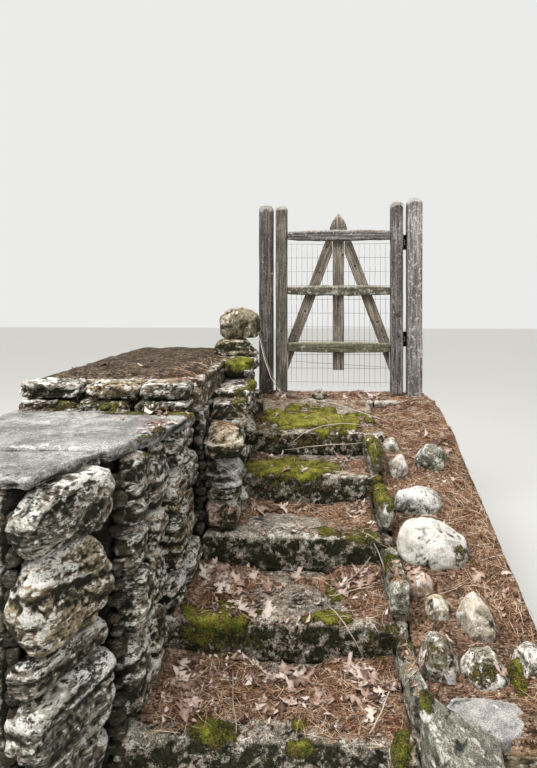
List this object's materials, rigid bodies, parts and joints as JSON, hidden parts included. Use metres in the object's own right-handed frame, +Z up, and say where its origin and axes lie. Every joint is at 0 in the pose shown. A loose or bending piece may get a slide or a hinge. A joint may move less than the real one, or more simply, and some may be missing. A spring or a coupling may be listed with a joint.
{
  "type": "stepped stone passage with timber gate",
  "caption": "Flight of rough stone slabs between a dry fieldstone terrace wall and a low boulder wall, closed at the top by a hinged timber gate with welded wire mesh.",
  "frame": {"origin": "on the ground under the middle of the first step's front edge", "axes": "+Z up, +Y up the flight towards the gate, +X to the right of someone climbing it"},
  "size_m": [2.1998, 2.8208, 2.335],
  "materials": {
    "granite": "split grey granite slabs, worn and lichened, mossy at the sides",
    "dark_fieldstone": "dark weathered fieldstone with white lichen spots",
    "rubble": "dry-laid rubble with dark open joints",
    "mossy_stone": "fieldstone grown over with yellow-green moss",
    "pale_stone": "pale buff and grey fieldstone, lichened",
    "gate_timber": "bare weathered cedar, greenish grey, lichen on the rails",
    "post_timber": "bare weathered cedar post, split and lichened",
    "hinge_iron": "dark rusted iron",
    "mesh_wire": "dull galvanised welded wire, browned"
  },
  "bodies": {
    "root": {"step_1": "granite", "step_2": "granite", "step_3": "granite", "step_4": "granite", "step_5": "granite", "landing_stone": "granite", "gate_sill_flags": "granite", "stair_core": "rubble", "landing_core": "rubble", "left_wall_core": "rubble", "left_wall_lower_face": "dark_fieldstone", "left_wall_upper_face": "dark_fieldstone", "corner_cobble": "pale_stone", "corner_shims": "pale_stone", "corner_block": "dark_fieldstone", "corner_cap": "pale_stone", "terrace_slab": "pale_stone", "terrace_front_slab": "mossy_stone", "upper_tier_core": "rubble", "upper_tier_stones": "mossy_stone", "post_boulder_low": "dark_fieldstone", "post_boulder_top": "dark_fieldstone", "right_wall_bed": "rubble", "kerb_stones": "dark_fieldstone", "angular_block": "pale_stone", "flat_grey_slab": "pale_stone", "bench_boulders": "dark_fieldstone", "slope_cobbles": "dark_fieldstone", "pale_boulder": "pale_stone", "lichen_boulder": "pale_stone", "upper_kerb_boulders": "mossy_stone", "moss_cobble": "mossy_stone", "landing_cobble": "mossy_stone", "left_gate_post": "post_timber", "right_gate_post": "post_timber", "post_hinge_leaves": "hinge_iron"},
    "gate": {"latch_stile": "gate_timber", "hinge_stile": "gate_timber", "top_rail": "gate_timber", "middle_rail": "gate_timber", "bottom_rail": "gate_timber", "centre_picket": "gate_timber", "left_brace": "gate_timber", "right_brace": "gate_timber", "wire_mesh": "mesh_wire", "gate_hinge_leaves": "hinge_iron"}
  },
  "joints": [
    {"name": "gate_hinge", "type": "hinge", "parent": "root", "child": "gate", "pos_m": [0.8685, 2.288, 1.668], "axis": [0, 0, -1], "range_deg": [0, 95]}
  ]
}
